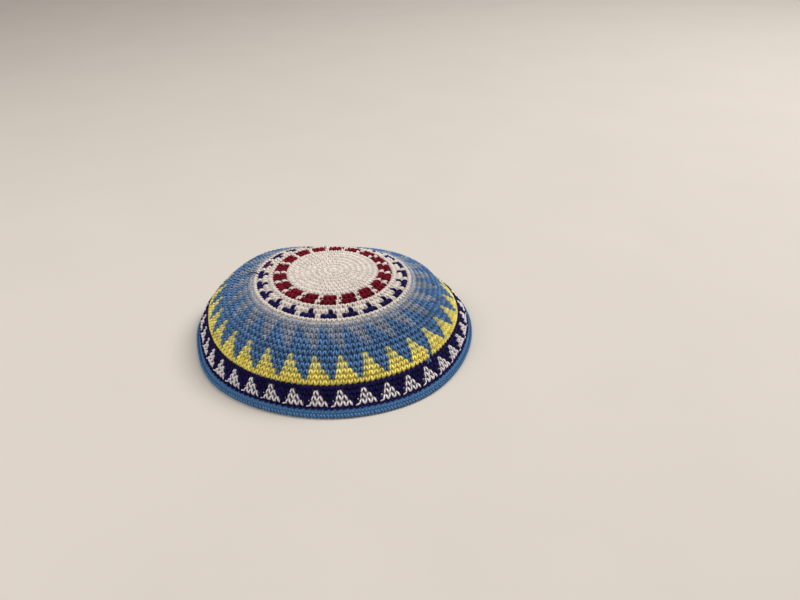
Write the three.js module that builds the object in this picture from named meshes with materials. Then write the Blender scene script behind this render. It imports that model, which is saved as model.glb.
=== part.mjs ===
// Kippah: a small round skullcap, crocheted from the centre of the crown outwards and finished with an edging.
// Millimetres, +Z up. The cap rests on the flat foot of its edging, with the head hollow open underneath.
import * as THREE from "three";

// Driving sizes, in millimetres
const rimRadius = 82;
const crownHeight = 43.3;
const fabricThickness = 2;
const edgingHeight = 4.4;
const edgingThickness = 2.6;
const stitchedGap = 0.3;

// How finely the surfaces are divided
const stepsAround = 72;
const stepsDown = 18;

// The crown's outer profile from its centre to the rim, as shares of rimRadius and crownHeight
const profileSections = [
  { at: "centre", radius: 0, height: 1 },
  { at: "inner edge of the red blocks", radius: 0.34, height: 0.98 },
  { at: "outer edge of the red blocks", radius: 0.421, height: 0.952 },
  { at: "foot of the small navy triangles", radius: 0.54, height: 0.88 },
  { at: "middle of the grey triangles", radius: 0.66, height: 0.78 },
  { at: "points of the grey triangles", radius: 0.745, height: 0.708 },
  { at: "points of the yellow triangles", radius: 0.803, height: 0.618 },
  { at: "middle of the yellow triangles", radius: 0.868, height: 0.495 },
  { at: "foot of the yellow triangles", radius: 0.897, height: 0.385 },
  { at: "middle of the white triangles", radius: 0.944, height: 0.2 },
  { at: "rim", radius: 1, height: 0 },
];

// Soft dents and bulges that the worn fabric has taken. Azimuth and spread are degrees about the crown's
// centre, down and reach are shares of the way from the centre to the rim, out is a share of rimRadius.
const softForms = [
  { form: "back left shoulder stands out", azimuth: 138, spread: 25, down: 0.64, reach: 0.18, out: 0.048 },
  { form: "left side of the band stands out", azimuth: 167, spread: 15, down: 0.93, reach: 0.1, out: 0.065 },
  { form: "back of the crown has sunk", azimuth: 86, spread: 32, down: 0.54, reach: 0.095, out: -0.046 },
  { form: "back of the band leans in", azimuth: 100, spread: 20, down: 0.76, reach: 0.17, out: -0.033 },
  { form: "right side of the band flares", azimuth: 27, spread: 18, down: 0.95, reach: 0.08, out: 0.048 },
  { form: "crease above the right flare", azimuth: 27, spread: 15, down: 0.755, reach: 0.045, out: -0.026 },
  { form: "band tucks in on the left", azimuth: 192, spread: 14, down: 0.93, reach: 0.1, out: -0.012 },
  { form: "rim wave at the front right", azimuth: 311, spread: 13, down: 0.95, reach: 0.11, out: 0.016 },
  { form: "rim wave at the front left", azimuth: 258, spread: 15, down: 1, reach: 0.07, out: -0.009 },
  { form: "rim wave at the left front", azimuth: 217, spread: 12, down: 1, reach: 0.07, out: 0.012 },
];

// The edging's section as a closed loop: up is a share of the way from the table to the crown,
// across is a share of edgingThickness, outwards positive
const edgingSection = [
  { up: 0, across: 0.3 },
  { up: 0.15, across: 0.46 },
  { up: 0.5, across: 0.5 },
  { up: 0.85, across: 0.48 },
  { up: 1, across: 0.38 },
  { up: 1, across: -0.38 },
  { up: 0.85, across: -0.48 },
  { up: 0.5, across: -0.5 },
  { up: 0.15, across: -0.46 },
  { up: 0, across: -0.3 },
];

// Yarn finishes
const creamYarn = new THREE.MeshStandardMaterial({ color: 0xd8cfc0, roughness: 0.85, metalness: 0 });
const blueYarn = new THREE.MeshStandardMaterial({ color: 0x4d86bd, roughness: 0.85, metalness: 0 });

const profile = new THREE.CatmullRomCurve3(
  profileSections.map((section) => new THREE.Vector3(section.radius * rimRadius, 0, section.height * crownHeight)),
  false,
  "centripetal",
);

// The share of the way down the profile at which it reaches a height above the table
function shareAtHeight(height) {
  let above = 0;
  let below = 1;
  for (let halving = 0; halving < 40; halving += 1) {
    const middle = (above + below) / 2;
    if (profile.getPointAt(middle).z > height) {
      above = middle;
    } else {
      below = middle;
    }
  }
  return (above + below) / 2;
}

// The angle from one azimuth to another, the short way round
function turnBetween(from, to) {
  return Math.atan2(Math.sin(to - from), Math.cos(to - from));
}

// How far all dents and bulges together move the surface outwards
function softOffset(share, azimuth) {
  let offset = 0;
  for (const { azimuth: centre, spread, down, reach, out } of softForms) {
    const around = turnBetween(THREE.MathUtils.degToRad(centre), azimuth) / THREE.MathUtils.degToRad(spread);
    const along = (share - down) / reach;
    offset += out * rimRadius * Math.exp(-(around * around + along * along) / 2);
  }
  return offset;
}

// A point of the fabric: share runs from the centre to the rim, depth is measured in from the outside.
// Outwards turns evenly from straight up at the centre to level at the rim.
function fabricPoint(share, azimuth, depth) {
  const outwards = (share * Math.PI) / 2;
  const onProfile = profile.getPointAt(share);
  const shift = softOffset(share, azimuth) - depth;
  const radius = onProfile.x + shift * Math.sin(outwards);
  const height = onProfile.z + shift * Math.cos(outwards);
  return new THREE.Vector3(radius * Math.cos(azimuth), radius * Math.sin(azimuth), height);
}

function azimuthOf(step) {
  return (2 * Math.PI * step) / stepsAround;
}

// A closed skin through rings of stepsAround points. A single point at either end is a pole, and with no
// poles the last ring joins the first.
function skinOver(rings) {
  const positions = [];
  const starts = [];
  for (const ring of rings) {
    starts.push(positions.length / 3);
    ring.forEach((point) => positions.push(point.x, point.y, point.z));
  }
  const hasPoles = rings[0].length === 1;
  const strips = hasPoles ? rings.length - 1 : rings.length;
  const triangles = [];
  for (let strip = 0; strip < strips; strip += 1) {
    const next = (strip + 1) % rings.length;
    for (let step = 0; step < stepsAround; step += 1) {
      const after = (step + 1) % stepsAround;
      if (rings[strip].length === 1) {
        triangles.push(starts[strip], starts[next] + step, starts[next] + after);
      } else if (rings[next].length === 1) {
        triangles.push(starts[strip] + step, starts[next], starts[strip] + after);
      } else {
        triangles.push(starts[strip] + step, starts[next] + step, starts[next] + after);
        triangles.push(starts[strip] + step, starts[next] + after, starts[strip] + after);
      }
    }
  }
  const skin = new THREE.BufferGeometry();
  skin.setAttribute("position", new THREE.Float32BufferAttribute(positions, 3));
  skin.setIndex(triangles);
  skin.computeVertexNormals();
  return skin;
}

function ringOf(pointAt) {
  return Array.from({ length: stepsAround }, (_, step) => pointAt(azimuthOf(step)));
}

// The crown ends where the edging is worked on, stitchedGap above it
const crownEndShare = shareAtHeight(edgingHeight + stitchedGap);

// The crown: out from the centre over the outer face, round the lower edge and back up the inner face
function makeCrown() {
  const outerPole = [fabricPoint(0, 0, 0)];
  const innerPole = [fabricPoint(0, 0, fabricThickness)];
  const outerRings = [];
  const innerRings = [];
  for (let row = 1; row <= stepsDown; row += 1) {
    const share = (crownEndShare * row) / stepsDown;
    outerRings.push(ringOf((azimuth) => fabricPoint(share, azimuth, 0)));
    innerRings.unshift(ringOf((azimuth) => fabricPoint(share, azimuth, fabricThickness)));
  }
  const crown = new THREE.Mesh(skinOver([outerPole, ...outerRings, ...innerRings, innerPole]), creamYarn);
  crown.name = "crown";
  return crown;
}

// The edging: its section carried round the rim, from a flat foot on the table to just under the crown
function makeEdging() {
  const rings = edgingSection.map(({ up, across }) =>
    ringOf((azimuth) => {
      const outwards = new THREE.Vector3(Math.cos(azimuth), Math.sin(azimuth), 0);
      const foot = fabricPoint(1, azimuth, edgingThickness / 2).setZ(0);
      const top = fabricPoint(crownEndShare, azimuth, fabricThickness / 2);
      top.z -= stitchedGap;
      return foot.lerp(top, up).addScaledVector(outwards, across * edgingThickness);
    }),
  );
  const edging = new THREE.Mesh(skinOver(rings.reverse()), blueYarn);
  edging.name = "edging";
  return edging;
}

const kippah = new THREE.Group();
kippah.add(makeCrown(), makeEdging());

// The origin is under the middle of the cap's outline, on the table
const outline = new THREE.Box3().setFromObject(kippah);
const middle = outline.getCenter(new THREE.Vector3());
kippah.position.set(-middle.x, -middle.y, 0);

export default kippah;
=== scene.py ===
"""A crocheted kippah, dressed stitch by stitch over its solid frame.

The cap is worked from the centre of the crown outwards, in rounds of single crochet over carried yarns, and
is finished with a blue edging that is turned down to the table. Lengths are in metres, +Z is up, -Y is the
front, and the cap rests on z = 0. A share is the part of the way down the cloth, from the centre (0) to the
rim (1).
"""

import logging
import math
from dataclasses import dataclass, field, replace
from enum import Enum
from typing import Any, Sequence

import bpy
import numpy as np
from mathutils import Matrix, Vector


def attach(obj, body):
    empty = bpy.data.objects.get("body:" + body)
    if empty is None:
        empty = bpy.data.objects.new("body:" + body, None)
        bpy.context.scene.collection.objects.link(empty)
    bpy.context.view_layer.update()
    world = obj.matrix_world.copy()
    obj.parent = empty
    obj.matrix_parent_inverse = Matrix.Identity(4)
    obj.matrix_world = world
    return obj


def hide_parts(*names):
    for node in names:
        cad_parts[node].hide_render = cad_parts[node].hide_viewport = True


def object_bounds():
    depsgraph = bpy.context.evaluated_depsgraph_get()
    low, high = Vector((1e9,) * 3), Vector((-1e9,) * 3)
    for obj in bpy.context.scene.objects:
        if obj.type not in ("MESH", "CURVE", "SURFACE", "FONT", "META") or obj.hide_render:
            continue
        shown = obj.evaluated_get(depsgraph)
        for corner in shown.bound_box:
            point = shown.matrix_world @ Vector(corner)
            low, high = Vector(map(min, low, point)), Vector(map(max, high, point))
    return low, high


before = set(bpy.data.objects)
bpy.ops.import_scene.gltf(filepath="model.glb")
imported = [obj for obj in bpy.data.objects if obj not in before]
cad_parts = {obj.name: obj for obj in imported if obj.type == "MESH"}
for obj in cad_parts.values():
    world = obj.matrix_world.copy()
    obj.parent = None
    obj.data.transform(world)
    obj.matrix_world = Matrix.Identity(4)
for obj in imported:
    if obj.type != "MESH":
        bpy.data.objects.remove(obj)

FRAME_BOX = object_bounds()
FRAME_STEPS = 72
MM = 0.001
LEVEL = np.array([1, 1, 0])
UP = np.array([0.0, 0.0, 1.0])
CHART_SEED, CROWN_SEED, EDGING_SEED = 5, 7, 11
LOG = logging.getLogger("kippah")


class Yarn(Enum):
    """The yarns of the cap, by the letter that stands for each in a chart."""

    CREAM = "C"
    WHITE = "W"
    DARK_RED = "R"
    NAVY = "N"
    BLUE = "B"
    GREY = "G"
    YELLOW = "Y"


# Shader tools


class Signal:
    """An output of a shader node that can be used in arithmetic."""

    def __init__(self, tree: "ShaderTree", socket: bpy.types.NodeSocket) -> None:
        """Keep the socket and the tree that it belongs to.

        Args:
            tree: the shader that new nodes go into.
            socket: the output that this signal stands for.
        """
        self.tree = tree
        self.socket = socket

    def _math(self, operation: str, first: Any, second: Any) -> "Signal":
        """Return a Math node's result for two numbers or signals."""
        return self.tree.node("ShaderNodeMath", {"operation": operation}, {0: first, 1: second})

    def __add__(self, other: Any) -> "Signal":
        """Return self + other."""
        return self._math("ADD", self, other)

    def __sub__(self, other: Any) -> "Signal":
        """Return self - other."""
        return self._math("SUBTRACT", self, other)

    def __rsub__(self, other: Any) -> "Signal":
        """Return other - self."""
        return self._math("SUBTRACT", other, self)

    def __mul__(self, other: Any) -> "Signal":
        """Return self * other."""
        return self._math("MULTIPLY", self, other)

    # The order of two terms or factors makes no difference.
    __radd__, __rmul__ = __add__, __mul__

    def sine(self) -> "Signal":
        """Return the sine of this signal, which is in radians."""
        return self._math("SINE", self, 0.0)

    def above(self, edge: float, softness: float) -> "Signal":
        """Return a soft step from 0 to 1.

        Args:
            edge: the value at the middle of the step.
            softness: half the width of the step.

        Returns:
            0 below the edge, 1 above it.
        """
        limits = {1: edge - softness, 2: edge + softness}
        return self.tree.node("ShaderNodeMapRange", {"interpolation_type": "SMOOTHSTEP"}, {0: self, **limits})


class ShaderTree:
    """A material's node tree, built by short expressions."""

    def __init__(self, name: str) -> None:
        """Make a material with an empty tree.

        Args:
            name: the material's name.
        """
        self.material = bpy.data.materials.new(name)
        self.material.use_nodes = True
        self.nodes = self.material.node_tree.nodes
        self.links = self.material.node_tree.links
        self.nodes.clear()

    def node(self, kind: str, settings: dict[str, Any], inputs: dict[Any, Any], output: Any = 0) -> Signal:
        """Add a node, set it up and join its inputs.

        Args:
            kind: the node's type name.
            settings: attributes of the node, set before its inputs.
            inputs: values or signals by input name or number.
            output: the name or number of the output to return.

        Returns:
            The chosen output, or the first input of a node that has no outputs.
        """
        made = self.nodes.new(kind)
        for name, value in settings.items():
            setattr(made, name, value)
        for name, value in inputs.items():
            if isinstance(value, Signal):
                self.links.new(value.socket, made.inputs[name])
            else:
                made.inputs[name].default_value = value
        return Signal(self, made.outputs[output] if made.outputs else made.inputs[0])

    def noise(self, grain: float) -> Signal:
        """Return a noise from 0 to 1 over the piece's own coordinates, with spots of the size grain."""
        place = self.node("ShaderNodeTexCoord", {}, {}, "Object")
        return self.node("ShaderNodeTexNoise", {}, {"Vector": place, "Scale": 1.0 / grain, "Detail": 2.0})

    def attribute(self, name: str, output: str = "Fac") -> Signal:
        """Return the values or, as "Color", the colours that the mesh holds under a name."""
        return self.node("ShaderNodeAttribute", {"attribute_name": name}, {}, output)

    def relief(self, strength: float, height: Signal) -> Signal:
        """Return the normal of a surface with fine relief, which is 0.2 mm high where height is 1."""
        return self.node("ShaderNodeBump", {}, {"Strength": strength, "Distance": 0.2 * MM, "Height": height})

    def blend(self, share: Any, first: Any, second: Any) -> Signal:
        """Return the colour that lies share of the way from the first colour to the second."""
        return self.node("ShaderNodeMix", {"data_type": "RGBA"}, {0: share, 6: first, 7: second}, 2)

    def scaled(self, colour: Any, factor: Signal) -> Signal:
        """Return a colour made lighter or darker by a factor."""
        return self.node("ShaderNodeVectorMath", {"operation": "SCALE"}, {0: colour, "Scale": factor})

    def finish(self, **sockets: Any) -> bpy.types.Material:
        """End the tree in a Principled shader.

        Args:
            sockets: values or signals by socket name, with underscores for spaces.

        Returns:
            The material.
        """
        inputs = {name.replace("_", " "): value for name, value in sockets.items()}
        surface = self.node("ShaderNodeBsdfPrincipled", {}, inputs)
        self.node("ShaderNodeOutputMaterial", {}, {"Surface": surface})
        return self.material


def rgba(colour: Sequence[float]) -> tuple[float, ...]:
    """Return a linear colour with full opacity."""
    return (*colour, 1.0)


@dataclass(frozen=True)
class YarnFinish:
    """Matt plied cotton yarn.

    Attributes:
        slot: the record's material slot.
        colour: the yarn's linear colour.
        fleck: the linear colour of the paler fibres in it.
        strange: the linear colour of the carried yarn's fibres that may show in it.
        cloth_painted_shade: painted shade of the close cloth between its stitches, as a share of its own
            colour.
        fleck_share: how much of the fleck colour shows where those fibres lie thickest.
        tone_spread: how much lighter or darker one stitch may be than another.
        roughness: the surface's roughness.
        fuzz: the weight of the soft sheen of its loose fibres.
        gloss: the surface's specular level.
        fullness: how thick the yarn lies in a stitch beside the other yarns.
        plies: how many plies are twisted together.
        twists: how many turns the plies make in a metre.
        ply_painted_light_and_shade: how much lighter a ply's crest and darker its groove are painted, as
            highlight and shade.
        fibre_grain: the size of the finest fibre marks.
        fibre_shade: how much those marks differ in lightness.
        fleck_grain: the size of the tufts of paler fibres.
        strange_grain: the size of the tufts of the carried yarn's fibres.
        mottle_grain: the size of the broad lighter and darker patches.
        mottle_shade: how much those patches differ in lightness.
    """

    slot: str
    colour: tuple[float, float, float]
    fleck: tuple[float, float, float]
    strange: tuple[float, float, float] = (0.05, 0.14, 0.28)
    cloth_painted_shade: float = 0.4
    fleck_share: float = 0.25
    tone_spread: float = 0.1
    roughness: float = 0.7
    fuzz: float = 0.05
    gloss: float = 0.3
    fullness: float = 1.0
    plies: int = 2
    twists: float = 430.0
    ply_painted_light_and_shade: float = 0.32
    fibre_grain: float = 0.22 * MM
    fibre_shade: float = 0.6
    fleck_grain: float = 0.66 * MM
    strange_grain: float = 0.88 * MM
    mottle_grain: float = 4 * MM
    mottle_shade: float = 0.3

    def material(self, name: str) -> bpy.types.Material:
        """Make the yarn's material.

        The plies run round each strand as the sine of turns around plus length along. The colour is scaled by
        that sine, which paints the crests of the plies lighter and their grooves darker as painted highlight
        and painted shade, by a tone that each stitch keeps, by fine fibres and by a broad mottle. Paler
        fibres show in tufts, and so do the carried yarn's, which spread as the stitch's mixed value rises.

        Args:
            name: the material's name.

        Returns:
            The material.
        """
        tree = ShaderTree(name)
        along = tree.node("ShaderNodeUVMap", {"uv_map": "yarn"}, {})
        turns = tree.node("ShaderNodeSeparateXYZ", {}, {0: along}, "X")
        length = tree.node("ShaderNodeSeparateXYZ", {}, {0: along}, "Y")
        ply = (turns * (math.tau * self.plies) + length * (math.tau * self.twists)).sine()
        fibre = tree.noise(self.fibre_grain)
        mottle = tree.noise(self.mottle_grain)
        # ply times ply_painted_light_and_shade is painted highlight on the ply crests and painted shade in
        # their grooves.
        shade = 1.0 + tree.attribute("tone") * self.tone_spread + ply * self.ply_painted_light_and_shade
        shade = shade + (fibre - 0.5) * self.fibre_shade + (mottle - 0.5) * self.mottle_shade
        pale = tree.noise(self.fleck_grain).above(0.55, 0.1) * self.fleck_share
        own = tree.blend(pale, rgba(self.colour), rgba(self.fleck))
        strange = tree.attribute("mixed") * (tree.noise(self.strange_grain) * 2.4 - 0.4)
        return tree.finish(
            Base_Color=tree.scaled(tree.blend(strange, own, rgba(self.strange)), shade),
            Roughness=self.roughness,
            Specular_IOR_Level=self.gloss,
            Sheen_Weight=self.fuzz,
            Sheen_Roughness=0.5,
            Normal=tree.relief(0.8, ply * 0.5 + fibre * 0.6),
        )


@dataclass(frozen=True)
class ClothFinish:
    """The close cloth under the stitches, where several yarns lie in each other's shade, painted into its
    colour.

    Attributes:
        slot: the record's material slot.
        fibre_grain: the size of its fibre marks.
        fibre_shade: how much those marks differ in lightness.
        roughness: the surface's roughness.
        gloss: the surface's specular level.
    """

    slot: str
    fibre_grain: float = 0.5 * MM
    fibre_shade: float = 0.5
    roughness: float = 0.9
    gloss: float = 0.2

    def material(self, name: str) -> bpy.types.Material:
        """Make the cloth's material, whose colour and painted shade come from the mesh's
        yarn_colour_in_painted_shade attribute.

        Args:
            name: the material's name.

        Returns:
            The material.
        """
        tree = ShaderTree(name)
        fibre = tree.noise(self.fibre_grain)
        shade = 1.0 + (fibre - 0.5) * self.fibre_shade
        return tree.finish(
            Base_Color=tree.scaled(tree.attribute("yarn_colour_in_painted_shade", "Color"), shade),
            Roughness=self.roughness,
            Specular_IOR_Level=self.gloss,
            Normal=tree.relief(0.6, fibre),
        )


@dataclass(frozen=True)
class FloorFinish:
    """A plain pale matt surface, with broad patches that hardly differ in lightness."""

    colour: tuple[float, float, float] = (0.66, 0.61, 0.555)
    patch_grain: float = 90 * MM
    patch_shade: float = 0.06
    roughness: float = 0.95

    def material(self, name: str) -> bpy.types.Material:
        """Make the floor's material.

        Args:
            name: the material's name.

        Returns:
            The material.
        """
        tree = ShaderTree(name)
        shade = 1.0 + (tree.noise(self.patch_grain) - 0.5) * self.patch_shade
        return tree.finish(Base_Color=tree.scaled(self.colour, shade), Roughness=self.roughness)


FINISHES: dict[Yarn, YarnFinish] = {
    Yarn.CREAM: YarnFinish(
        "cream_yarn",
        (0.73, 0.66, 0.6),
        (0.87, 0.82, 0.76),
        cloth_painted_shade=1.0,
        tone_spread=0.06,
        fullness=1.18,
        ply_painted_light_and_shade=0.26,
    ),
    Yarn.WHITE: YarnFinish(
        "cream_yarn", (0.94, 0.88, 0.92), (1.0, 0.97, 0.99), cloth_painted_shade=0.15, tone_spread=0.05, fullness=0.94
    ),
    Yarn.DARK_RED: YarnFinish(
        "dark_red_yarn", (0.15, 0.001, 0.012), (0.24, 0.004, 0.02), tone_spread=0.25, gloss=0.06, fullness=1.2
    ),
    Yarn.NAVY: YarnFinish(
        "navy_yarn",
        (0.009, 0.005, 0.07),
        (0.02, 0.015, 0.13),
        strange=(0.16, 0.006, 0.07),
        tone_spread=0.3,
        gloss=0.06,
        fullness=1.15,
    ),
    Yarn.BLUE: YarnFinish(
        "blue_yarn",
        (0.052, 0.152, 0.35),
        (0.25, 0.4, 0.63),
        fleck_share=0.5,
        tone_spread=0.2,
        ply_painted_light_and_shade=0.44,
    ),
    Yarn.GREY: YarnFinish(
        "grey_yarn",
        (0.28, 0.3, 0.36),
        (0.6, 0.6, 0.63),
        fleck_share=0.5,
        tone_spread=0.2,
        ply_painted_light_and_shade=0.45,
    ),
    Yarn.YELLOW: YarnFinish(
        "yellow_yarn",
        (0.97, 0.81, 0.13),
        (1.0, 0.95, 0.5),
        cloth_painted_shade=0.6,
        fleck_share=0.6,
        tone_spread=0.18,
    ),
}

EDGING_FINISH = YarnFinish(
    "blue_yarn", (0.076, 0.21, 0.445), (0.22, 0.39, 0.62), tone_spread=0.08, ply_painted_light_and_shade=0.15
)
LOOSE_END_FINISH = replace(FINISHES[Yarn.NAVY], colour=(0.03, 0.012, 0.09), fleck=(0.1, 0.04, 0.16))


# The cap's form


@dataclass(frozen=True)
class Section:
    """A place on the crown's profile, as shares of the rim's radius and of the crown's height."""

    at: str
    radius: float
    height: float


@dataclass(frozen=True)
class SoftForm:
    """A dent or bulge that the worn fabric has taken.

    Attributes:
        form: what it is.
        azimuth: its middle, in degrees about the crown's centre.
        spread: its width around, in degrees.
        down: its middle, as a share of the way down.
        reach: its width downwards, as a share of the way down.
        out: how far it stands out, as a share of the rim's radius.
    """

    form: str
    azimuth: float
    spread: float
    down: float
    reach: float
    out: float


PROFILE = (
    Section("centre", 0, 1),
    Section("inner edge of the red blocks", 0.34, 0.98),
    Section("outer edge of the red blocks", 0.421, 0.952),
    Section("foot of the small navy triangles", 0.54, 0.88),
    Section("middle of the grey triangles", 0.66, 0.78),
    Section("points of the grey triangles", 0.745, 0.708),
    Section("points of the yellow triangles", 0.803, 0.618),
    Section("middle of the yellow triangles", 0.868, 0.495),
    Section("foot of the yellow triangles", 0.897, 0.385),
    Section("middle of the white triangles", 0.944, 0.2),
    Section("rim", 1, 0),
)

SOFT_FORMS = (
    SoftForm("back left shoulder stands out", 138, 25, 0.64, 0.18, 0.048),
    SoftForm("left side of the band stands out", 167, 15, 0.93, 0.1, 0.065),
    SoftForm("back of the crown has sunk", 86, 32, 0.54, 0.095, -0.046),
    SoftForm("back of the band leans in", 100, 20, 0.76, 0.17, -0.033),
    SoftForm("right side of the band flares", 27, 18, 0.95, 0.08, 0.048),
    SoftForm("crease above the right flare", 27, 15, 0.755, 0.045, -0.026),
    SoftForm("band tucks in on the left", 192, 14, 0.93, 0.1, -0.012),
    SoftForm("rim wave at the front right", 311, 13, 0.95, 0.11, 0.016),
    SoftForm("rim wave at the front left", 258, 15, 1, 0.07, -0.009),
    SoftForm("rim wave at the left front", 217, 12, 1, 0.07, 0.012),
)

# The edging's section as a closed loop: up is a share of the way from the table to the crown, across is a
# share of its thickness, outwards positive.
EDGING_SECTION = np.array(
    [(0, 0.3), (0.15, 0.46), (0.5, 0.5), (0.85, 0.48), (1, 0.38)]
    + [(1, -0.38), (0.85, -0.48), (0.5, -0.5), (0.15, -0.46), (0, -0.3)]
)


def unit(vectors: np.ndarray) -> np.ndarray:
    """Return vectors of length 1."""
    return vectors / np.maximum(np.linalg.norm(vectors, axis=-1, keepdims=True), 1e-12)


def outwards(azimuth: np.ndarray) -> np.ndarray:
    """Return level unit vectors that point away from the cap's axis at azimuths in radians."""
    return np.stack([np.cos(azimuth), np.sin(azimuth), np.zeros_like(azimuth)], axis=-1)


def turn_from(degrees: float, azimuth: np.ndarray) -> np.ndarray:
    """Return the angles from an azimuth in degrees to azimuths in radians, the short way round."""
    return np.mod(azimuth - math.radians(degrees) + math.pi, math.tau) - math.pi


def smooth_curve(points: np.ndarray, steps: int = 60) -> np.ndarray:
    """Return many points of a smooth curve through a few.

    It is a centripetal Catmull-Rom curve: between two points it is a cubic whose slopes come from the points
    on either side, with the time between two points as the square root of their distance.

    Args:
        points: the points that it passes through, one a row.
        steps: how many points each stretch gets.

    Returns:
        The curve's points, one a row.
    """
    ends = np.concatenate([[2 * points[0] - points[1]], points, [2 * points[-1] - points[-2]]])
    before, first, last, after = ends[:-3], ends[1:-2], ends[2:-1], ends[3:]
    early, time, late = (
        np.sqrt(np.linalg.norm(end - start, axis=1))[:, None]
        for start, end in ((before, first), (first, last), (last, after))
    )
    leave = ((first - before) / early - (last - before) / (early + time) + (last - first) / time) * time
    arrive = ((last - first) / time - (after - first) / (time + late) + (after - last) / late) * time
    t = np.linspace(0, 1, steps, endpoint=False)[None, :, None]
    first, last, leave, arrive = (part[:, None, :] for part in (first, last, leave, arrive))
    curve = (
        first * (2 * t**3 - 3 * t**2 + 1)
        + leave * (t**3 - 2 * t**2 + t)
        + last * (3 * t**2 - 2 * t**3)
        + arrive * (t**3 - t**2)
    )
    return np.concatenate([curve.reshape(-1, points.shape[1]), points[-1:]])


@dataclass
class CapShape:
    """The cap's outer surface, as a function of share and azimuth.

    Attributes:
        rim_radius: the radius of the rim before its dents and bulges.
        crown_height: the height of the crown's centre above the table.
        fabric_thickness: the thickness of the crown's cloth.
        edging_height: how high the edging reaches.
        edging_thickness: the thickness of the edging.
        stitched_gap: the gap between the frame's two solids.
        profile: many points of the profile, as radius and height.
        profile_share: the share at each of those points.
        crown_end: the share at which the crown ends, above the edging.
        middle: the middle of the outline on the table, which is moved to the origin.
        width: the outline's width.
    """

    rim_radius: float
    crown_height: float
    fabric_thickness: float = 2 * MM
    edging_height: float = 4.4 * MM
    edging_thickness: float = 2.6 * MM
    stitched_gap: float = 0.3 * MM
    profile: np.ndarray = field(init=False)
    profile_share: np.ndarray = field(init=False)
    crown_end: float = field(init=False)
    middle: np.ndarray = field(init=False)
    width: float = field(init=False)

    def __post_init__(self) -> None:
        """Lay out the profile by its arc length, and find the middle and the width of the outline.

        The outline is taken at the azimuths of the frame's own points.
        """
        sections = [(part.radius * self.rim_radius, part.height * self.crown_height) for part in PROFILE]
        self.profile = smooth_curve(np.array(sections))
        lengths = np.concatenate([[0.0], np.cumsum(np.linalg.norm(np.diff(self.profile, axis=0), axis=1))])
        self.profile_share = lengths / lengths[-1]
        crown_foot = self.edging_height + self.stitched_gap
        self.crown_end = float(np.interp(-crown_foot, -self.profile[:, 1], self.profile_share))
        self.middle = np.zeros(3)
        azimuth = math.tau * np.arange(FRAME_STEPS) / FRAME_STEPS
        share = np.linspace(0.5, self.crown_end, 40)[:, None]
        up, across = EDGING_SECTION.T[:, :, None]
        crown = self.point(share, azimuth).reshape(-1, 3)
        edging = self.edging_point(up, across, azimuth).reshape(-1, 3)
        outline = np.concatenate([crown, edging])
        low, high = outline.min(axis=0), outline.max(axis=0)
        self.middle = (low + high) / 2 * LEVEL
        self.width = float(high[0] - low[0])

    @classmethod
    def from_frame(cls) -> "CapShape":
        """Find the shape whose height and width are the frame's, by scaling its rim a few times.

        Returns:
            The shape.
        """
        low, high = FRAME_BOX
        width = high.x - low.x
        shape = cls(width / 2, high.z)
        for _ in range(4):
            shape = cls(shape.rim_radius * width / shape.width, high.z)
        return shape

    def soft_offset(self, share: np.ndarray, azimuth: np.ndarray) -> np.ndarray:
        """Return how far all dents and bulges together move the cloth outwards.

        Each is a bell in both directions: out times e to the minus half the sum of the squares of the
        distance around over spread and the distance down over reach.

        Args:
            share: shares of the way down.
            azimuth: azimuths in radians.

        Returns:
            A distance for each point.
        """
        offset = np.zeros(np.broadcast(share, azimuth).shape)
        for form in SOFT_FORMS:
            around = turn_from(form.azimuth, azimuth) / math.radians(form.spread)
            bell = around**2 + ((share - form.down) / form.reach) ** 2
            offset = offset + form.out * self.rim_radius * np.exp(-bell / 2)
        return offset

    def point(self, share: Any, azimuth: Any, depth: float = 0.0) -> np.ndarray:
        """Return points of the cloth.

        The profile gives a radius and a height for each share. Dents, bulges and depth move the point along a
        line that turns evenly from straight up at the centre to level at the rim.

        Args:
            share: shares of the way down.
            azimuth: azimuths in radians.
            depth: how far inside the outer surface the points lie.

        Returns:
            Points, with x, y and z last.
        """
        share, azimuth = np.broadcast_arrays(np.asarray(share, float), np.asarray(azimuth, float))
        tilt = share * (math.pi / 2)
        shift = self.soft_offset(share, azimuth) - depth
        radius = np.interp(share, self.profile_share, self.profile[:, 0]) + shift * np.sin(tilt)
        height = np.interp(share, self.profile_share, self.profile[:, 1]) + shift * np.cos(tilt)
        return np.stack([radius * np.cos(azimuth), radius * np.sin(azimuth), height], axis=-1) - self.middle

    def normal(self, share: Any, azimuth: Any) -> np.ndarray:
        """Return outward unit normals, as the cross product of the slopes down and around.

        Args:
            share: shares of the way down.
            azimuth: azimuths in radians.

        Returns:
            Normals, with x, y and z last.
        """
        step = 0.004
        share, azimuth = np.broadcast_arrays(np.asarray(share, float), np.asarray(azimuth, float))
        held = np.clip(share, step, 1 - step)
        down = self.point(held + step, azimuth) - self.point(held - step, azimuth)
        around = self.point(held, azimuth + step) - self.point(held, azimuth - step)
        return unit(np.cross(down, around))

    def lifted(self, share: Any, azimuth: Any, lift: Any) -> np.ndarray:
        """Return points that stand lift above the surface, along its normal."""
        return self.point(share, azimuth) + self.normal(share, azimuth) * np.asarray(lift)[..., None]

    def foot(self, azimuth: np.ndarray) -> np.ndarray:
        """Return points on the table under the middle of the edging."""
        return self.point(1.0, azimuth, self.edging_thickness / 2) * LEVEL

    def edging_point(self, up: Any, across: Any, azimuth: Any) -> np.ndarray:
        """Return points of the edging's section.

        Its middle line runs straight from the foot on the table to the crown's end, and across moves a point
        level, towards or away from the crown's centre.

        Args:
            up: shares of the way from the table to the crown.
            across: shares of the edging's thickness, outwards positive.
            azimuth: azimuths in radians.

        Returns:
            Points, with x, y and z last.
        """
        up, across, azimuth = np.broadcast_arrays(up, across, azimuth)
        foot = self.foot(azimuth)
        top = self.point(self.crown_end, azimuth, self.fabric_thickness / 2) - self.stitched_gap * UP
        line = foot + (top - foot) * up[..., None]
        return line + outwards(azimuth) * (across * self.edging_thickness)[..., None]


# Meshes


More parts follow.
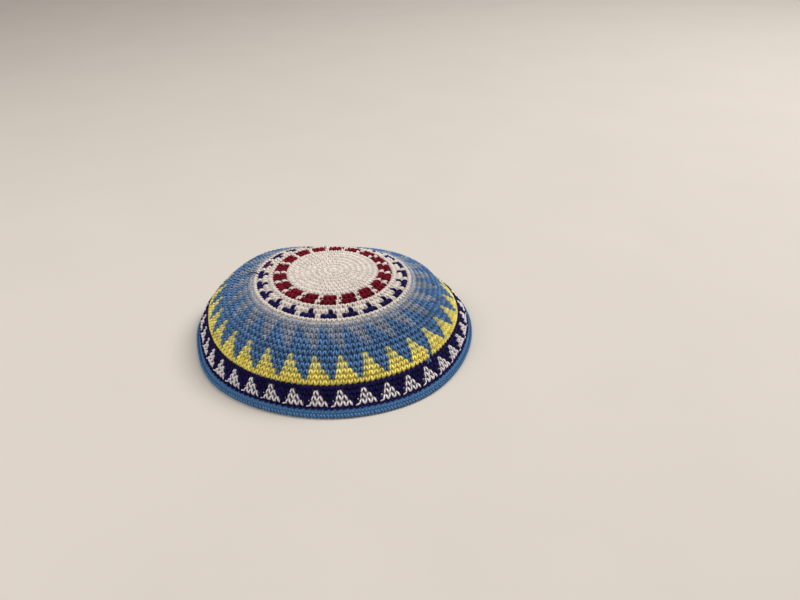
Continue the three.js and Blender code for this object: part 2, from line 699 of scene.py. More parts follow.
@dataclass
class Patch:
    """A part of a mesh.

    Attributes:
        vertices: its points, one a row.
        faces: arrays of faces, each with the same number of corners, numbered in the patch.
        uv: for each array of faces, the place of every corner on the map, or nothing.
        values: values on the points, by attribute name.
    """

    vertices: np.ndarray
    faces: list[np.ndarray]
    uv: list[np.ndarray]
    values: dict[str, np.ndarray]


def add_attribute(mesh: bpy.types.Mesh, name: str, values: np.ndarray) -> None:
    """Put values or colours on a mesh's points.

    Args:
        mesh: the mesh.
        name: the attribute's name.
        values: one number or one colour a point.
    """
    kind, key = ("FLOAT", "value") if values.ndim == 1 else ("FLOAT_COLOR", "color")
    attribute = mesh.attributes.new(name, kind, "POINT")
    attribute.data.foreach_set(key, values.astype(np.float32).ravel())


def put(name: str, data: bpy.types.ID) -> bpy.types.Object:
    """Put a new object in the scene.

    Args:
        name: the object's name.
        data: its mesh, light or camera.

    Returns:
        The object.
    """
    made = bpy.data.objects.new(name, data)
    bpy.context.scene.collection.objects.link(made)
    return made


def build_piece(name: str, patches: Sequence[Patch], finish: Any) -> bpy.types.Object:
    """Join patches into one smooth-shaded mesh that rides on the cap.

    Args:
        name: the piece's name.
        patches: its parts.
        finish: the finish that gives its material.

    Returns:
        The piece.
    """
    offsets = np.cumsum([0] + [len(patch.vertices) for patch in patches])
    arrays = [faces + start for patch, start in zip(patches, offsets) for faces in patch.faces]
    corners = np.concatenate([faces.ravel() for faces in arrays]).astype(np.int32)
    sizes = np.concatenate([np.full(len(faces), faces.shape[1]) for faces in arrays])
    mesh = bpy.data.meshes.new(name)
    mesh.vertices.add(offsets[-1])
    points = np.concatenate([patch.vertices for patch in patches])
    mesh.vertices.foreach_set("co", points.astype(np.float32).ravel())
    mesh.loops.add(len(corners))
    mesh.loops.foreach_set("vertex_index", corners)
    mesh.polygons.add(len(sizes))
    mesh.polygons.foreach_set("loop_start", (np.cumsum(sizes) - sizes).astype(np.int32))
    mesh.polygons.foreach_set("use_smooth", np.ones(len(sizes), bool))
    mesh.update(calc_edges=True)
    if patches[0].uv:
        places = np.concatenate([part.reshape(-1, 2) for patch in patches for part in patch.uv])
        mesh.uv_layers.new(name="yarn").data.foreach_set("uv", places.astype(np.float32).ravel())
    for key in patches[0].values:
        add_attribute(mesh, key, np.concatenate([patch.values[key] for patch in patches]))
    mesh.validate()
    mesh.materials.append(finish.material(name))
    piece = put(name, mesh)
    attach(piece, "root")
    return piece


def skin(rings: np.ndarray, poles: np.ndarray | None) -> Patch:
    """Skin rings of points that follow one another.

    With poles, the first and last rings close to a point, and the first pole comes before all other points.
    Without them, the last ring joins the first.

    Args:
        rings: points, by ring and step around.
        poles: the first and the last point, or None.

    Returns:
        A patch without a map or values.
    """
    count, steps = rings.shape[:2]
    index = np.arange(count * steps).reshape(count, steps)
    if poles is None:
        below = np.roll(index, -1, axis=0)
        quads = np.stack([index, below, np.roll(below, -1, axis=1), np.roll(index, -1, axis=1)], axis=-1)
        return Patch(rings.reshape(-1, 3), [quads.reshape(-1, 4)], [], {})
    index = index + 1
    after = np.roll(index, -1, axis=1)
    quads = np.stack([index[:-1], index[1:], after[1:], after[:-1]], axis=-1)
    first, last = np.zeros(steps, int), np.full(steps, count * steps + 1)
    opening = np.stack([first, index[0], after[0]], axis=-1)
    closing = np.stack([index[-1], last, after[-1]], axis=-1)
    vertices = np.concatenate([poles[:1], rings.reshape(-1, 3), poles[1:]])
    return Patch(vertices, [quads.reshape(-1, 4), np.concatenate([opening, closing])], [], {})


@dataclass
class Strands:
    """Short lengths of yarn that have the same number of rings.

    Attributes:
        path: the middle of each ring, by strand and ring.
        out: the direction away from the cloth at each ring.
        radius: the yarn's radius at each ring.
        tone: how light each strand is, mostly from -1 to 1.
        mixed: how much of the carried yarn's fibres shows in each strand.
    """

    path: np.ndarray
    out: np.ndarray
    radius: np.ndarray
    tone: np.ndarray
    mixed: np.ndarray

    def kept(self, chosen: np.ndarray) -> "Strands":
        """Return only the chosen strands."""
        parts = (self.path, self.out, self.radius, self.tone, self.mixed)
        return Strands(*(part[chosen] for part in parts))

    def patch(self, sides: int, flatness: float = 0.88) -> Patch:
        """Skin the strands.

        Each ring is an ellipse square to the path: the radius times the cosine along the cloth plus the
        radius times the sine, times flatness, away from it. Both ends are closed.

        Args:
            sides: the number of sides round each strand.
            flatness: the ellipse's height as a share of its width.

        Returns:
            A patch whose map holds turns around and metres along.
        """
        count, rings = self.path.shape[:2]
        tangent = unit(np.gradient(self.path, axis=1))
        side = unit(np.cross(tangent, self.out))
        away = np.cross(side, tangent)
        angle = math.tau * np.arange(sides) / sides
        cosine, sine = np.cos(angle)[:, None], np.sin(angle)[:, None] * flatness
        ring = cosine * side[:, :, None, :] + sine * away[:, :, None, :]
        vertices = self.path[:, :, None, :] + self.radius[:, :, None, None] * ring
        index = np.arange(count * rings * sides).reshape(count, rings, sides)
        after = np.roll(index, -1, axis=2)
        quads = np.stack([index[:, :-1], index[:, 1:], after[:, 1:], after[:, :-1]], axis=-1)
        length = np.linalg.norm(np.diff(self.path, axis=1), axis=2).cumsum(axis=1)
        length = np.concatenate([np.zeros((count, 1)), length], axis=1)[:, :, None]
        turn = np.broadcast_to(np.arange(sides) / sides, (count, rings - 1, sides))
        start, end = (np.broadcast_to(part, turn.shape) for part in (length[:, :-1], length[:, 1:]))
        places = np.stack([turn, start, turn, end, turn + 1 / sides, end, turn + 1 / sides, start], axis=-1)
        caps = np.concatenate([index[:, 0, :], index[:, -1, ::-1]])
        return Patch(
            vertices.reshape(-1, 3),
            [quads.reshape(-1, 4), caps],
            [places.reshape(-1, 4, 2), np.full((*caps.shape, 2), 0.5)],
            {"tone": np.repeat(self.tone, rings * sides), "mixed": np.repeat(self.mixed, rings * sides)},
        )


# The chart


@dataclass(frozen=True)
class Band:
    """Rounds of one pattern, worked one below the other.

    Attributes:
        name: what the band shows.
        repeats: how often its chart repeats around.
        azimuth: where the marked stitch points in the first round, in degrees.
        marked: the chart column of that stitch.
        edges: the shares at which its rounds begin, and the share at which the last one ends.
        chart: a row of yarn letters for each round, one letter a stitch, towards larger azimuths.
        yarns: the letters of the ground and of the yarn that is carried along with it, or a blank.
        shows: the letters of the stitches in which the carried yarn can be seen.
        peeps: for each row, in how many of those stitches it does peep out, as a share.
        mixing: for each row, how much of the ground's fibres shows in the other yarn.
        creep: how many stitches each round moves sideways.
        loops: for each row, how plainly the first loop of each change of yarn shows.
        close: how closely it is worked, from 0 to 1.
    """

    name: str
    repeats: int
    azimuth: float
    marked: float
    edges: tuple[float, ...]
    chart: tuple[str, ...]
    yarns: str = "C "
    shows: str = ""
    peeps: tuple[float, ...] = (1.0,) * 5
    mixing: tuple[float, ...] = (0.0,) * 5
    creep: float = -0.27
    loops: tuple[float, ...] = (0.0,) * 5
    close: float = 0.0


@dataclass(frozen=True)
class Round:
    """One round of stitches.

    Attributes:
        top: the share at which its stitches come out.
        foot: the share at which the next round begins.
        azimuths: where each stitch comes out, in radians.
        yarns: the letter of each stitch's yarn.
        ground: the letter of the band's ground.
        carried: the letter of the carried yarn that can be seen in each stitch, or a blank.
        mixed: how much of the carried yarn's fibres shows in each stitch.
        loops_show: how plainly the first loop of each change of yarn shows.
        close: how closely it is worked, from 0 to 1.
    """

    top: float
    foot: float
    azimuths: np.ndarray
    yarns: np.ndarray
    ground: str
    carried: np.ndarray
    mixed: np.ndarray
    loops_show: float
    close: float = 0.0

    @property
    def pitch(self) -> float:
        """The angle from one stitch to the next."""
        return math.tau / len(self.azimuths)


@dataclass(frozen=True)
class Mend:
    """A stitch that took another yarn, or whose yarn shows the fibres of another.

    Attributes:
        round: its round.
        azimuth: its azimuth in degrees.
        yarn: its yarn's letter.
        mixed: how much of the other yarn's fibres shows in it.
    """

    round: int
    azimuth: float
    yarn: str
    mixed: float = 0.0


# No stitch lies nearer to the centre than this share, because all azimuths meet there.
NEAREST_SHARE = 0.0004

CENTRE_GORES = 8
CENTRE_TURN = 137.5
CENTRE_EDGES = (0.001, 0.033, 0.066, 0.098, 0.131, 0.164, 0.197, 0.229, 0.262)

PATTERN_BANDS = (
    Band("dark red blocks", 18, -89, 1, (0.262, 0.302, 0.342), ("RRRC", "RRRC"), "CR", loops=(1.0, 1.0)),
    Band("cream round over carried yarn", 84, -90, 0, (0.342, 0.374), ("C",), "CN", "C", (0.35,)),
    Band(
        "small navy triangles",
        23,
        -87.6,
        0,
        (0.374, 0.407, 0.44),
        ("NCCC", "NNCN"),
        "CN",
        "C",
        (0.3, 0.3),
        creep=-0.35,
    ),
    Band("cream round", 104, -90, 0, (0.44, 0.464), ("C",)),
    Band("pale round", 130, -90, 0, (0.464, 0.497), ("C",), "BC", mixing=(0.75,)),
    Band(
        "grey triangles",
        26,
        -87.2,
        2,
        (0.497, 0.532, 0.567, 0.602, 0.635),
        ("BGGGG", "BBGGG", "BBBGG", "BBBBG"),
        "BG",
        "G",
        mixing=(0.4, 0.4, 0.45, 0.5),
        creep=0.0,
    ),
    Band("blue round", 143, -90, 0, (0.635, 0.667), ("B",), "BG"),
    Band(
        "yellow triangles",
        31,
        -94.5,
        0,
        (0.667, 0.702, 0.737, 0.765, 0.793, 0.821),
        ("YBBBB", "YYBBB", "YYYBB", "YYYYB", "YYYYY"),
        "BY",
        "Y",
        (1.0, 1.0, 0.5, 0.0, 0.0),
        mixing=(0.5, 0.4, 0.15, 0.0, 0.0),
        creep=-0.22,
    ),
    Band(
        "white triangles",
        38,
        -92.7,
        0,
        (0.821, 0.848, 0.875, 0.905, 0.935, 0.955),
        ("NNNN", "WNNN", "WWNN", "WWWN", "NNNN"),
        "NW",
        "W",
        creep=-0.28,
        loops=(0.0, 0.0, 0.05, 1.0, 0.0),
    ),
)

MENDS = (
    Mend(11, 162.8, "N", 0.9),
    Mend(12, 157.5, "N", 0.7),
    Mend(12, 161.4, "N", 0.7),
    Mend(12, 165.3, "N", 0.4),
    Mend(24, -41.3, "B"),
    Mend(25, -42, "B"),
)


def centre_bands() -> list[Band]:
    """Return the cream rounds of the centre.

    Each has one more stitch than the one above it in each of the gores, and begins further round by
    CENTRE_TURN, so that the gores don't line up.

    Returns:
        A band for each round, from the centre outwards.
    """
    bands = []
    for number, edges in enumerate(zip(CENTRE_EDGES[:-1], CENTRE_EDGES[1:]), start=1):
        stitches, azimuth = CENTRE_GORES * number, CENTRE_TURN * number
        bands.append(Band(f"cream round {number}", stitches, azimuth, 0, edges, ("C",), close=1.0))
    return bands


def work_rounds(bands: Sequence[Band]) -> list[Round]:
    """Read the charts into rounds of stitches.

    A stitch's azimuth is the marked azimuth, plus its columns from the marked one and the creep of the rounds
    above it, times the angle of one stitch.

    Args:
        bands: the bands, from the centre outwards.

    Returns:
        The rounds, from the centre outwards.
    """
    rounds = []
    draws = np.random.default_rng(CHART_SEED)
    for band in bands:
        for row, letters in enumerate(band.chart):
            yarns = np.array(list(letters * band.repeats))
            column = np.arange(len(yarns)) - band.marked + band.creep * row
            azimuths = math.radians(band.azimuth) + column * math.tau / len(yarns)
            ground, other = band.yarns
            hidden = np.where(yarns == ground, other, ground)
            peeps = np.isin(yarns, list(band.shows)) & (draws.random(len(yarns)) < band.peeps[row])
            carried = np.where(peeps, hidden, " ")
            mixed = np.where(yarns == ground, 0.0, band.mixing[row])
            top, foot = band.edges[row : row + 2]
            shows = band.loops[row]
            rounds.append(Round(top, foot, azimuths, yarns, ground, carried, mixed, shows, band.close))
    for mend in MENDS:
        chosen = rounds[mend.round]
        place = np.abs(turn_from(mend.azimuth, chosen.azimuths)).argmin()
        chosen.yarns[place] = mend.yarn
        chosen.mixed[place] = mend.mixed
    return rounds


# The crown


@dataclass(frozen=True)
class LegForm:
    """One leg of a stitch, in stitch widths from where the stitch comes out.

    Attributes:
        top: where the leg comes out.
        foot: where it goes in under the next round.
        fullness: its thickness as a share of the yarn's.
        sunk: how much deeper it lies than the other leg.
    """

    top: float
    foot: float
    fullness: float
    sunk: float = 0.0


class Leg(Enum):
    """The two legs of a stitch. The right one slants away, the left one stands steeper."""

    LEFT = LegForm(-0.03, -0.34, 0.9, 0.1 * MM)
    RIGHT = LegForm(0.03, 0.54, 1.08)


@dataclass(frozen=True)
class BowForm:
    """A strand that crosses a stitch and is bowed in depth.

    Attributes:
        across: where it begins and ends, in stitch widths from where the stitch comes out.
        down: where it begins and ends, in shares of the round's height.
        radius: its radius in the middle.
        dive: how much deeper its ends lie than its middle.
        power: the power of the distance from the middle that the dive follows.
    """

    across: tuple[float, float]
    down: tuple[float, float]
    radius: float
    dive: float
    power: int


class Bow(Enum):
    """The bar that a stitch makes inside the cap, and the loop of a new yarn before its first stitch."""

    BAR = BowForm((-0.38, 0.64), (0.95, 1.05), 0.336 * MM, -0.5 * MM, 4)
    FIRST_LOOP = BowForm((-0.88, -0.3), (1.0, 0.75), 0.5 * MM, 0.6 * MM, 2)


def between(ends: tuple[float, float], share: Any) -> Any:
    """Return the values that lie shares of the way from the first end to the second."""
    return ends[0] + (ends[1] - ends[0]) * share


def swing(rings: int) -> np.ndarray:
    """Return shares from 0 to 1 that lie closer together towards both ends, as half of 1 minus a cosine."""
    return 0.5 - 0.5 * np.cos(np.pi * np.arange(rings) / (rings - 1))


@dataclass
class Crown:
    """The worked dome: close cloth, the stitches outside, the bars inside and the carried yarn.

    Attributes:
        shape: the cap's surface.
        rounds: its rounds, from the centre outwards.
        yarn_radius: the radius of the yarn where it lies free.
        crest_depth: how deep the middle of a leg's yarn lies under the surface at the leg's crest.
        crest_power: a power of the way along, which moves the crest below the middle of the leg.
        slant_power: the power of the way along that a leg's place across follows.
        dive: how much deeper the ends of a leg go.
        leg_down: where a leg begins and ends, in shares of the round's height.
        leg_taper: how much thinner the ends of a leg are.
        bow_taper: how much thinner the ends of a bar or a first loop are.
        loop_depths: how deep a first loop lies where it is hidden, and where it shows.
        cloth_depth: how deep the outer face of the close cloth lies.
        cloth_thickness: the thickness of the close cloth.
        cloth_ridge: how far each round's ridge stands out of the close cloth.
        cloth_lead: how far the stitch's colour leads its place in the close cloth, in stitch widths.
        close_rise: how much higher the cloth lies where the rounds are worked closely.
        close_wander: how much further stitches stray there, as a share.
        close_fullness: how much fuller the yarn lies there, as a share.
        carried_depth: how deep the carried yarn lies.
        carried_dip: how much deeper it lies at both sides of a stitch.
        carried_radius: its radius.
        carried_across: where it begins and ends, in stitch widths from where the stitch comes out.
        carried_down: how far down the round it lies, as a share.
        carried_sway: how far it sways up and down, as a share of the round's height.
        wander: how far a stitch strays from its place, in stitch widths.
        depth_wander: how far it strays in depth.
        fullness_wander: how much its yarn's thickness varies.
        sides: the number of sides of a leg.
        bar_sides: the number of sides of a bar.
        loop_sides: the number of sides of the carried yarn and of a first loop.
        leg_rings: the number of rings along a leg.
        bow_rings: the number of rings along a bar or a first loop.
        cloth_steps: the number of points round the close cloth.
        rows_a_round: the number of rings of the close cloth's outer face in each round.
    """

    shape: CapShape
    rounds: list[Round]
    yarn_radius: float = 0.56 * MM
    crest_depth: float = 0.5 * MM
    crest_power: float = 1.25
    slant_power: float = 0.85
    dive: float = 1.0 * MM
    leg_down: tuple[float, float] = (-0.03, 1.02)
    leg_taper: float = 0.35
    bow_taper: float = 0.3
    loop_depths: tuple[float, float] = (0.85 * MM, 0.35 * MM)
    cloth_depth: float = 1.1 * MM
    cloth_thickness: float = 0.5 * MM
    cloth_ridge: float = 0.12 * MM
    cloth_lead: float = 0.13
    close_rise: float = 0.3 * MM
    close_wander: float = 2.5
    close_fullness: float = 0.07
    carried_depth: float = 1.0 * MM
    carried_dip: float = 0.15 * MM
    carried_radius: float = 0.42 * MM
    carried_across: tuple[float, float] = (-0.4, 0.7)
    carried_down: float = 0.62
    carried_sway: float = 0.12
    wander: float = 0.035
    depth_wander: float = 0.06 * MM
    fullness_wander: float = 0.07
    sides: int = 6
    bar_sides: int = 4
    loop_sides: int = 5
    leg_rings: int = 8
    bow_rings: int = 5
    cloth_steps: int = 360
    rows_a_round: int = 3

    def __post_init__(self) -> None:
        """Start the seeded draws that give each stitch its own place, fullness and tone."""
        self.draws = np.random.default_rng(CROWN_SEED)
        self.patches: dict[str, list[Patch]] = {yarn.value: [] for yarn in Yarn}

    def place(self, row: Round, across: np.ndarray, down: np.ndarray, depth: np.ndarray) -> tuple:
        """Turn places in a round into points and normals.

        Args:
            row: the round.
            across: stitch widths from where each stitch comes out, by stitch and ring.
            down: shares of the round's height, by stitch and ring.
            depth: depth under the surface, by stitch and ring.

        Returns:
            The points and the surface's normals there.
        """
        azimuth = row.azimuths[:, None] + across * row.pitch
        share = np.maximum(row.top + down * (row.foot - row.top), NEAREST_SHARE)
        normal = self.shape.normal(share, azimuth)
        return self.shape.point(share, azimuth) - normal * depth[..., None], normal

    def legs(self, row: Round, leg: LegForm, strays: np.ndarray) -> Strands:
        """Return one leg of every stitch of a round.

        Across, a leg moves from its top to its foot as a power of the way along. Down, it runs evenly from
        just above the round to just below it. Its depth is the crest's depth plus the dive times the square
        of the distance from its crest, which lies a little below its middle, and its radius shrinks as the
        cube of that distance. Close rounds dive half as far, and their stitches are fuller and stray further.

        Args:
            row: the round.
            leg: the leg's form.
            strays: for each stitch, how it strays across, down, in depth, in fullness and in tone.

        Returns:
            The strands.
        """
        t = swing(self.leg_rings)[None, :]
        from_crest = np.abs(2 * t**self.crest_power - 1)
        aside, below, deeper, fuller, tone = strays[:, :, None]
        wander = self.wander * (1 + self.close_wander * row.close)
        across = leg.top + (leg.foot - leg.top) * t**self.slant_power + wander * aside
        down = between(self.leg_down, t) + self.wander * below
        dive = self.dive * (1 - 0.5 * row.close)
        depth = self.crest_depth + leg.sunk + dive * from_crest**2 + self.depth_wander * deeper
        path, normal = self.place(row, across, down, depth)
        yarn = np.array([FINISHES[Yarn(letter)].fullness for letter in row.yarns])[:, None]
        yarn = yarn * leg.fullness * (1 + self.close_fullness * row.close)
        radius = self.yarn_radius * yarn * (1 + self.fullness_wander * fuller)
        return Strands(path, normal, radius * (1 - self.leg_taper * from_crest**3), tone[:, 0], row.mixed)

    def bows(self, row: Round, bow: BowForm, depth: float, tone: np.ndarray, mixed: np.ndarray) -> Strands:
        """Return a bow for every stitch of a round.

        A bow runs evenly between its two places. It lies at its depth plus the dive times a power of the
        distance from its middle, and its radius shrinks as the square of that distance.

        Args:
            row: the round.
            bow: the bow's form.
            depth: how deep its middle lies.
            tone: the lightness of each stitch.
            mixed: how much of the carried yarn's fibres shows in each stitch.

        Returns:
            The strands.
        """
        t = swing(self.bow_rings)[None, :] + np.zeros((len(row.yarns), 1))
        from_middle = np.abs(2 * t - 1)
        depths = depth + bow.dive * from_middle**bow.power
        path, normal = self.place(row, between(bow.across, t), between(bow.down, t), depths)
        return Strands(path, normal, bow.radius * (1 - self.bow_taper * from_middle**2), tone, mixed)

    def carried(self, row: Round, tone: np.ndarray) -> Strands:
        """Return the carried yarn behind the legs of each stitch.

        It runs level, sways up and down once as a sine, and lies a little deeper towards its ends.

        Args:
            row: the round.
            tone: the lightness of each stitch.

        Returns:
            The strands.
        """
        t = np.linspace(0, 1, 4)[None, :] + np.zeros((len(row.yarns), 1))
        depth = self.carried_depth + self.carried_dip * np.abs(2 * t - 1)
        down = self.carried_down + self.carried_sway * np.sin(t * math.tau)
        path, normal = self.place(row, between(self.carried_across, t), down, depth)
        return Strands(path, normal, np.full(t.shape, self.carried_radius), tone, 0 * row.mixed)

    def add(self, strands: Strands, letters: np.ndarray, sides: int) -> None:
        """Skin strands and keep them with the yarns that their letters name.

        Args:
            strands: the strands.
            letters: a yarn's letter for each strand, or a blank for one that is left out.
            sides: the number of sides round each strand.
        """
        for yarn in Yarn:
            chosen = letters == yarn.value
            if chosen.any():
                self.patches[yarn.value].append(strands.kept(chosen).patch(sides))

    def work(self) -> None:
        """Work every round: two legs, a bar, carried yarn and first loops for each stitch."""
        for row in self.rounds:
            strays = self.draws.normal(size=(5, len(row.yarns))).clip(-2, 2) / 1.5
            for leg in Leg:
                own = strays + 0.3 * self.draws.normal(size=strays.shape)
                self.add(self.legs(row, leg.value, own), row.yarns, self.sides)
            tone = strays[4]
            inside = self.shape.fabric_thickness - Bow.BAR.value.radius
            self.add(self.bows(row, Bow.BAR.value, inside, tone, row.mixed), row.yarns, self.bar_sides)
            self.add(self.carried(row, tone), row.carried, self.loop_sides)
            before = np.roll(row.yarns, 1)
            changed = (before != row.yarns) & (before == row.ground) & (row.loops_show > 0)
            crest = between(self.loop_depths, row.loops_show)
            loops = self.bows(row, Bow.FIRST_LOOP.value, crest, tone, 0 * row.mixed)
            self.add(loops, np.where(changed, row.yarns, " "), self.loop_sides)

    def cloth_colour(self, share: np.ndarray, azimuth: np.ndarray) -> np.ndarray:
        """Return the colour of the close cloth: that of the stitch over it, darkened as painted shade.

        Args:
            share: shares of the way down, one a ring.
            azimuth: azimuths of the points of a ring, in radians.

        Returns:
            A linear colour for each point, by ring and azimuth.
        """
        # Each yarn's colour times its cloth_painted_shade is painted shade in the gaps between the stitches.
        shaded = {yarn.value: np.array(look.colour) * look.cloth_painted_shade for yarn, look in FINISHES.items()}
        stitches = []
        for row in self.rounds:
            column = np.rint((azimuth - row.azimuths[0]) / row.pitch - self.cloth_lead)
            nearest = column.astype(int) % len(row.yarns)
            stitches.append([shaded[letter] for letter in row.yarns[nearest]])
        edges = np.array([row.top for row in self.rounds])
        chosen = np.clip(np.searchsorted(edges, share, side="right") - 1, 0, len(edges) - 1)
        colours = np.array(stitches)[chosen]
        return np.concatenate([colours, np.ones((*colours.shape[:2], 1))], axis=2)

    def cloth(self) -> bpy.types.Object:
        """Build the close cloth under the stitches.

        Both faces are the cap's surface at a depth that swings as a cosine of the rounds counted down, so
        that the cloth is thickest along the middle of each round. The two faces are joined at the foot.

        Returns:
            The piece, which stands for the frame's crown.
        """
        edges = [row.top for row in self.rounds] + [self.rounds[-1].foot]
        counted = np.arange(len(edges))
        share = np.linspace(0, self.shape.crown_end, self.rows_a_round * len(self.rounds))[1:]
        ridge = self.cloth_ridge * np.cos(math.tau * np.interp(share, edges, counted))
        close = np.interp(share, edges[:-1], [row.close for row in self.rounds])
        outer = self.cloth_depth + ridge - self.close_rise * close
        inner = self.cloth_depth + self.cloth_thickness - ridge
        shares = np.concatenate([share, share[::-2]])
        depths = np.concatenate([outer, inner[::-2]])
        azimuth = np.linspace(0, math.tau, self.cloth_steps, endpoint=False)
        rings = self.shape.lifted(shares[:, None], azimuth, -depths[:, None] + 0 * azimuth)
        pole_depths = np.array([self.cloth_depth - self.close_rise, self.cloth_depth + self.cloth_thickness])
        poles = self.shape.lifted(0.0, 0.0, -pole_depths)
        colour = self.cloth_colour(shares, azimuth).reshape(-1, 4)
        patch = skin(rings, poles)
        # The cloth's colours, with their painted shade, go on the mesh for its material.
        patch.values["yarn_colour_in_painted_shade"] = np.concatenate([colour[:1], colour, colour[:1]])
        return build_piece("crown_cloth", [patch], ClothFinish("cream_yarn"))

    def build(self) -> list[bpy.types.Object]:
        """Build the cloth and the stitches of each yarn, which together stand for the frame's crown.

        Returns:
            The pieces.
        """
        self.work()
        cloth = self.cloth()
        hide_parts("crown")
        pieces = [cloth]
        for yarn in Yarn:
            patches = self.patches[yarn.value]
            if patches:
                pieces.append(build_piece(f"{yarn.name.lower()}_stitches", patches, FINISHES[yarn]))
        return pieces


# The edging


ARCH_LEGS = (LegForm(-0.06, -0.34, 0.9), LegForm(0.06, 0.42, 0.95))


@dataclass
class Edging:
    """The blue edging: a close core, a round of arches and a lip of slanted strands that is turned down.

    Attributes:
        shape: the cap's surface.
        stitches: how many stitches go round.
        top: the share at which its arches come out.
        lip: the share at which the lip begins.
        yarn_radius: the radius of its yarn.
        core_inset: how far the core lies inside the frame's edging.
        core_painted_shade: the core's painted shade under the arches and the lip, as a share of the yarn's
            colour.
        lip_strands: how many strands the lip shows.
        lip_slant: how far a strand of the lip advances, in strands.
        lip_wander: how far it strays around, in strands.
        lip_reach: half the width and half the height of the ellipse that it runs on.
        lip_height: how high the middle of that ellipse lies.
        lip_turn: where it begins and ends on the ellipse, in degrees above outwards.
        lip_radius: the radius of its yarn.
        lip_rings: the number of rings along it.
        cloth_steps: the number of points round the core.
    """

    shape: CapShape
    stitches: int = 144
    top: float = 0.955
    lip: float = 0.974
    yarn_radius: float = 0.6 * MM
    core_inset: float = 0.45 * MM
    core_painted_shade: float = 0.8
    lip_strands: int = 288
    lip_slant: float = 1.4
    lip_wander: float = 0.08
    lip_reach: tuple[float, float] = (0.85 * MM, 0.9 * MM)
    lip_height: float = 1.42 * MM
    lip_turn: tuple[float, float] = (75, -190)
    lip_radius: float = 0.57 * MM
    lip_rings: int = 10
    cloth_steps: int = 240

    def core(self) -> bpy.types.Object:
        """Build the core: the edging's section, drawn in by the inset, carried round the rim.

        Returns:
            The piece, which stands for the frame's edging.
        """
        up, across = EDGING_SECTION[::-1].T[:, :, None]
        azimuth = np.linspace(0, math.tau, self.cloth_steps, endpoint=False)
        narrow = 1 - 2 * self.core_inset / self.shape.edging_thickness
        lowest = self.core_inset / self.shape.edging_height
        rings = self.shape.edging_point(lowest + (1 - lowest) * up, across * narrow, azimuth)
        patch = skin(rings, None)
        # The core's colour is the yarn's, darkened as painted shade under the arches and the lip.
        colour = rgba(self.core_painted_shade * np.array(EDGING_FINISH.colour))
        patch.values["yarn_colour_in_painted_shade"] = np.tile(colour, (len(patch.vertices), 1))
        core = build_piece("edging_core", [patch], ClothFinish("blue_yarn"))
        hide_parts("edging")
        return core

    def arches(self, draws: np.random.Generator) -> bpy.types.Object:
        """Build the round of small arches that the edging shows against the navy band.

        Each arch is the two legs of a stitch.

        Args:
            draws: the seeded draws for tone and place.

        Returns:
            The piece.
        """
        azimuths = math.tau * np.arange(self.stitches) / self.stitches
        letters = np.full(self.stitches, Yarn.BLUE.value)
        row = Round(self.top, self.lip, azimuths, letters, "", letters, np.zeros(self.stitches), 0.0)
        maker = Crown(self.shape, [row], yarn_radius=self.yarn_radius)
        patches = []
        for form in ARCH_LEGS:
            strays = draws.normal(size=(5, self.stitches)).clip(-2, 2) / 2
            patches.append(maker.legs(row, form, strays).patch(maker.sides))
        return build_piece("edging_arches", patches, EDGING_FINISH)

    def lip_wraps(self, draws: np.random.Generator) -> bpy.types.Object:
        """Build the lip.

        Each strand runs round an upright ellipse about the foot, from its outer top down over the outside,
        under it and up the inside, and advances around the rim as it goes.

        Args:
            draws: the seeded draws for tone and place.

        Returns:
            The piece.
        """
        t = np.linspace(0, 1, self.lip_rings)[None, :]
        pitch = math.tau / self.lip_strands
        strays = self.lip_wander * draws.normal(size=self.lip_strands)
        start = pitch * (np.arange(self.lip_strands) + strays)[:, None]
        azimuth = start + pitch * self.lip_slant * t
        turn = np.radians(between(self.lip_turn, t)) + np.zeros_like(azimuth)
        cosine, sine = np.cos(turn)[..., None], np.sin(turn)[..., None]
        reach, rise = self.lip_reach
        level = outwards(azimuth)
        path = self.shape.foot(azimuth) + level * reach * cosine + UP * (self.lip_height + rise * sine)
        radius = np.full(azimuth.shape, self.lip_radius)
        tone = draws.normal(size=self.lip_strands).clip(-2, 2) / 2
        strands = Strands(path, level * cosine + UP * sine, radius, tone, 0 * tone)
        return build_piece("edging_lip", [strands.patch(6, flatness=0.85)], EDGING_FINISH)

    def build(self) -> list[bpy.types.Object]:
        """Return the pieces of the edging."""
        draws = np.random.default_rng(EDGING_SEED)
        return [self.core(), self.arches(draws), self.lip_wraps(draws)]


# The yarn end


@dataclass
class YarnEnd:
    """The short end of navy yarn that has worked loose on the left of the crown.

    Attributes:
        shape: the cap's surface.
        radius: the yarn's radius.
        route: its share, azimuth in degrees and lift at the few points that it passes through.
    """

    shape: CapShape
    radius: float = 0.38 * MM
    route: tuple[tuple[float, float, float], ...] = (
        (0.436, 175.6, -0.9 * MM),
        (0.446, 175.2, 0.1 * MM),
        (0.465, 173.8, 0.5 * MM),
        (0.485, 172.7, 0.5 * MM),
        (0.505, 172.2, 0.3 * MM),
        (0.518, 172.2, 0.1 * MM),
    )

    def build(self) -> bpy.types.Object:
        """Build the end, a strand along a smooth curve that tapers as the fourth power of the way along.

        Returns:
            The piece.
        """
        share, azimuth, lift = smooth_curve(np.array(self.route), 6).T
        path = self.shape.lifted(share, np.radians(azimuth), lift)[None]
        normal = self.shape.normal(share, np.radians(azimuth))[None]
        radius = self.radius * (1 - 0.5 * np.linspace(0, 1, len(share)) ** 4)
        strands = Strands(path, normal, radius[None], np.zeros(1), np.zeros(1))
        return build_piece("yarn_end", [strands.patch(8)], LOOSE_END_FINISH)


# The studio


@dataclass(frozen=True)
class SoftLight:
    """A square light that looks at the cap.

    Attributes:
        name: the light's name.
        place: where it stands.
        size: the length of its sides.
        power: its power in watts.
        colour: its linear colour.
    """

    name: str
    place: tuple[float, float, float]
    size: float
    power: float
    colour: tuple[float, float, float]

    def build(self) -> None:
        """Make the light."""
        lamp = bpy.data.lights.new(self.name, "AREA")
        lamp.shape = "SQUARE"
        lamp.size, lamp.energy, lamp.color = self.size, self.power, self.colour
        light = put(self.name, lamp)
        light.location = self.place
        light.rotation_euler = (-light.location).to_track_quat("-Z", "Y").to_euler()


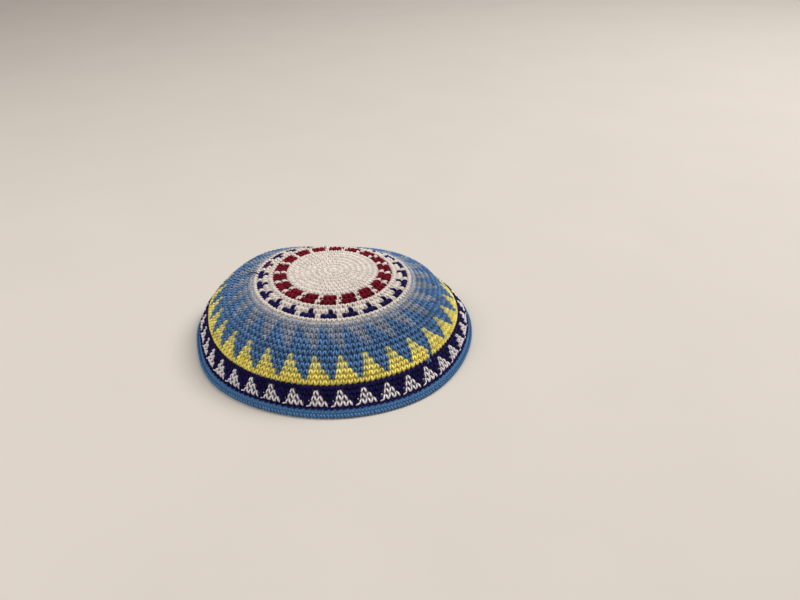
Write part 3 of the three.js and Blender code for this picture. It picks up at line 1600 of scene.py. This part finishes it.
@dataclass
class Studio:
    """The floor, the lights and the camera.

    Attributes:
        shape: the cap's surface, whose rim radius is the unit of the camera's place.
        camera_place: the camera's place in rim radii from the middle of the rim.
        camera_dip: how far the camera looks down, in degrees.
        lens: the lens in millimetres.
        sensor: the width of the camera's sensor in millimetres.
        sight: how near and how far the camera sees.
        floor_reach: half the floor's width.
        lights: the lights.
        room_colour: the linear colour of the even light that comes from all round.
        room_strength: the strength of that light.
    """

    shape: CapShape
    camera_place: tuple[float, float, float] = (0.477, -4.477, 2.991)
    camera_dip: float = 31.24
    lens: float = 32.49
    sensor: float = 36.0
    sight: tuple[float, float] = (0.01, 50.0)
    floor_reach: float = 4.0
    lights: tuple[SoftLight, ...] = (
        SoftLight("window", (1.1, 0.5, 1.6), 0.9, 30.0, (1.0, 0.98, 0.96)),
        SoftLight("lamp", (-0.5, -0.2, 0.8), 0.5, 3.0, (1.0, 0.97, 0.94)),
    )
    room_colour: tuple[float, float, float] = (1.0, 0.97, 0.93)
    room_strength: float = 0.3

    def camera(self) -> None:
        """Make the camera at the photograph's viewing angle."""
        lens = bpy.data.cameras.new("camera")
        lens.lens = self.lens
        lens.sensor_width = self.sensor
        lens.clip_start, lens.clip_end = self.sight
        camera = put("camera", lens)
        camera.location = np.array(self.camera_place) * self.shape.rim_radius - self.shape.middle
        camera.rotation_euler = (math.radians(90 - self.camera_dip), 0, 0)
        bpy.context.scene.camera = camera

    def floor(self) -> None:
        """Make the floor, a level square at the height of the table."""
        corners = [(-1, -1, 0), (1, -1, 0), (1, 1, 0), (-1, 1, 0)]
        mesh = bpy.data.meshes.new("floor")
        mesh.from_pydata((np.array(corners) * self.floor_reach).tolist(), [], [(0, 1, 2, 3)])
        mesh.materials.append(FloorFinish().material("floor"))
        put("floor", mesh)

    def world(self) -> None:
        """Make the even light that comes from all round."""
        world = bpy.data.worlds.new("room")
        world.use_nodes = True
        background = world.node_tree.nodes["Background"]
        background.inputs["Color"].default_value = rgba(self.room_colour)
        background.inputs["Strength"].default_value = self.room_strength
        bpy.context.scene.world = world

    def build(self) -> None:
        """Make everything that isn't part of the cap."""
        self.camera()
        self.floor()
        self.world()
        for light in self.lights:
            light.build()
        bpy.context.scene.view_settings.view_transform = "Standard"


def main() -> None:
    """Build the studio and the cap, and report each piece."""
    logging.basicConfig(level=logging.INFO, format="%(message)s")
    shape = CapShape.from_frame()
    Studio(shape).build()
    rounds = work_rounds([*centre_bands(), *PATTERN_BANDS])
    pieces = [*Crown(shape, rounds).build(), *Edging(shape).build(), YarnEnd(shape).build()]
    for piece in pieces:
        triangles = sum(len(face.vertices) - 2 for face in piece.data.polygons)
        LOG.info("%s: %d triangles", piece.name, triangles)


if __name__ == "__main__":
    main()
